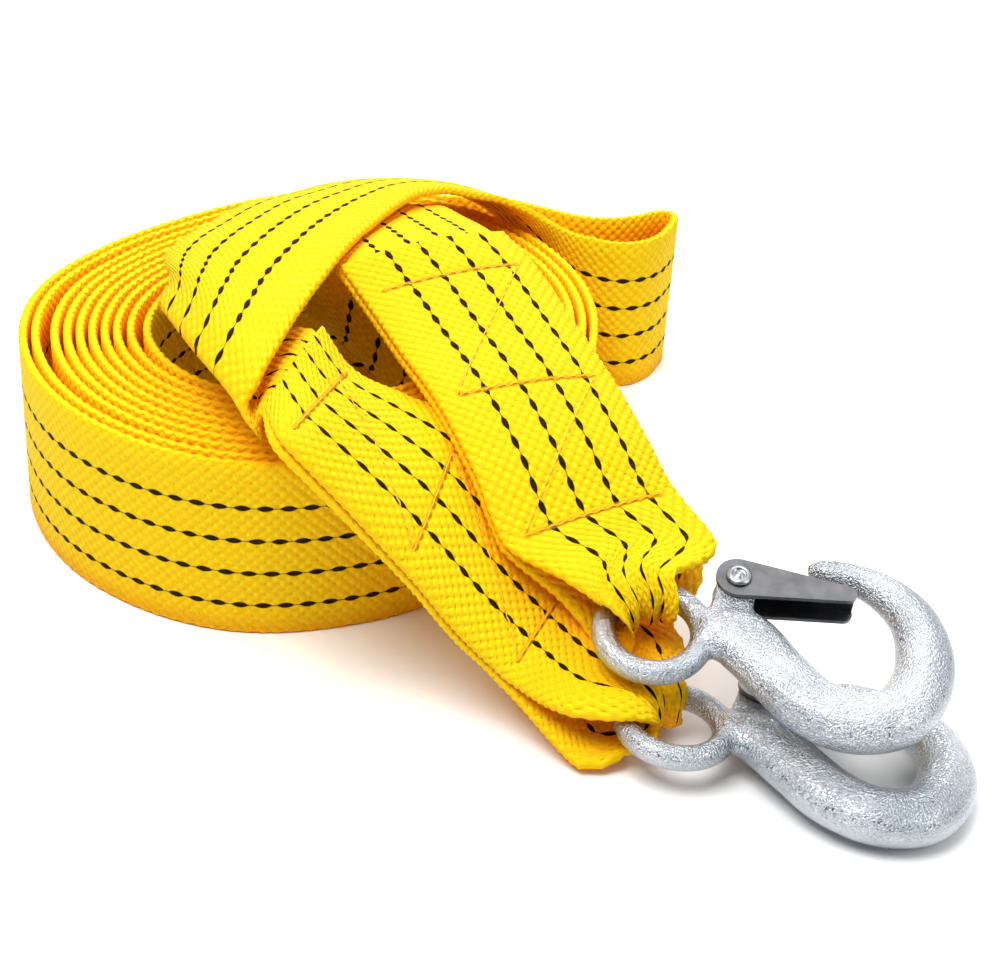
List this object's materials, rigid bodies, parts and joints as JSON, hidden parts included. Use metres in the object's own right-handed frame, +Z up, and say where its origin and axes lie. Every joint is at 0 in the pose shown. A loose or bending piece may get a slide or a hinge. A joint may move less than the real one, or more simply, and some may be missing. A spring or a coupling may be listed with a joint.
{
  "type": "tow strap",
  "caption": "Flat webbing tow strap rolled on its edge, its two sewn ends each looped through the eye of a forged hook with a sprung latch.",
  "frame": {"origin": "middle of the whole at the floor", "axes": "+Z up, the coil lying on its edge, hooks towards +X and -Y"},
  "size_m": [0.2502, 0.2516, 0.0774],
  "materials": {
    "webbing": "woven polyester",
    "thread": "sewing thread",
    "zinc": "bright zinc plate",
    "steel": "stamped sheet"
  },
  "bodies": {
    "strap": {"webbing": "webbing", "stitching_lower": "thread", "stitching_upper": "thread", "hook_lower": "zinc", "rivet_lower": "steel"},
    "upper_hook": {"hook_upper": "zinc", "rivet_upper": "steel"},
    "upper_latch": {"latch_upper": "steel"},
    "lower_latch": {"latch_lower": "steel"}
  },
  "joints": [
    {"name": "upper_hook_swing", "type": "hinge", "parent": "strap", "child": "upper_hook", "pos_m": [0.04165, -0.07114, 0.0296], "axis": [-0.848, -0.4988, -0.1791], "range_deg": [0, 30]},
    {"name": "upper_latch_open", "type": "hinge", "parent": "upper_hook", "child": "upper_latch", "pos_m": [0.06817, -0.06672, 0.03155], "axis": [0.0183, 0.3103, -0.9505], "range_deg": [0, 28], "stiffness_Nm_per_rad": 0.05, "springref_deg": -28.65},
    {"name": "lower_latch_open", "type": "hinge", "parent": "strap", "child": "lower_latch", "pos_m": [0.0751, -0.08003, 0.0087], "axis": [-0.0615, 0.0125, -0.998], "range_deg": [0, 28], "stiffness_Nm_per_rad": 0.05, "springref_deg": -28.65}
  ]
}
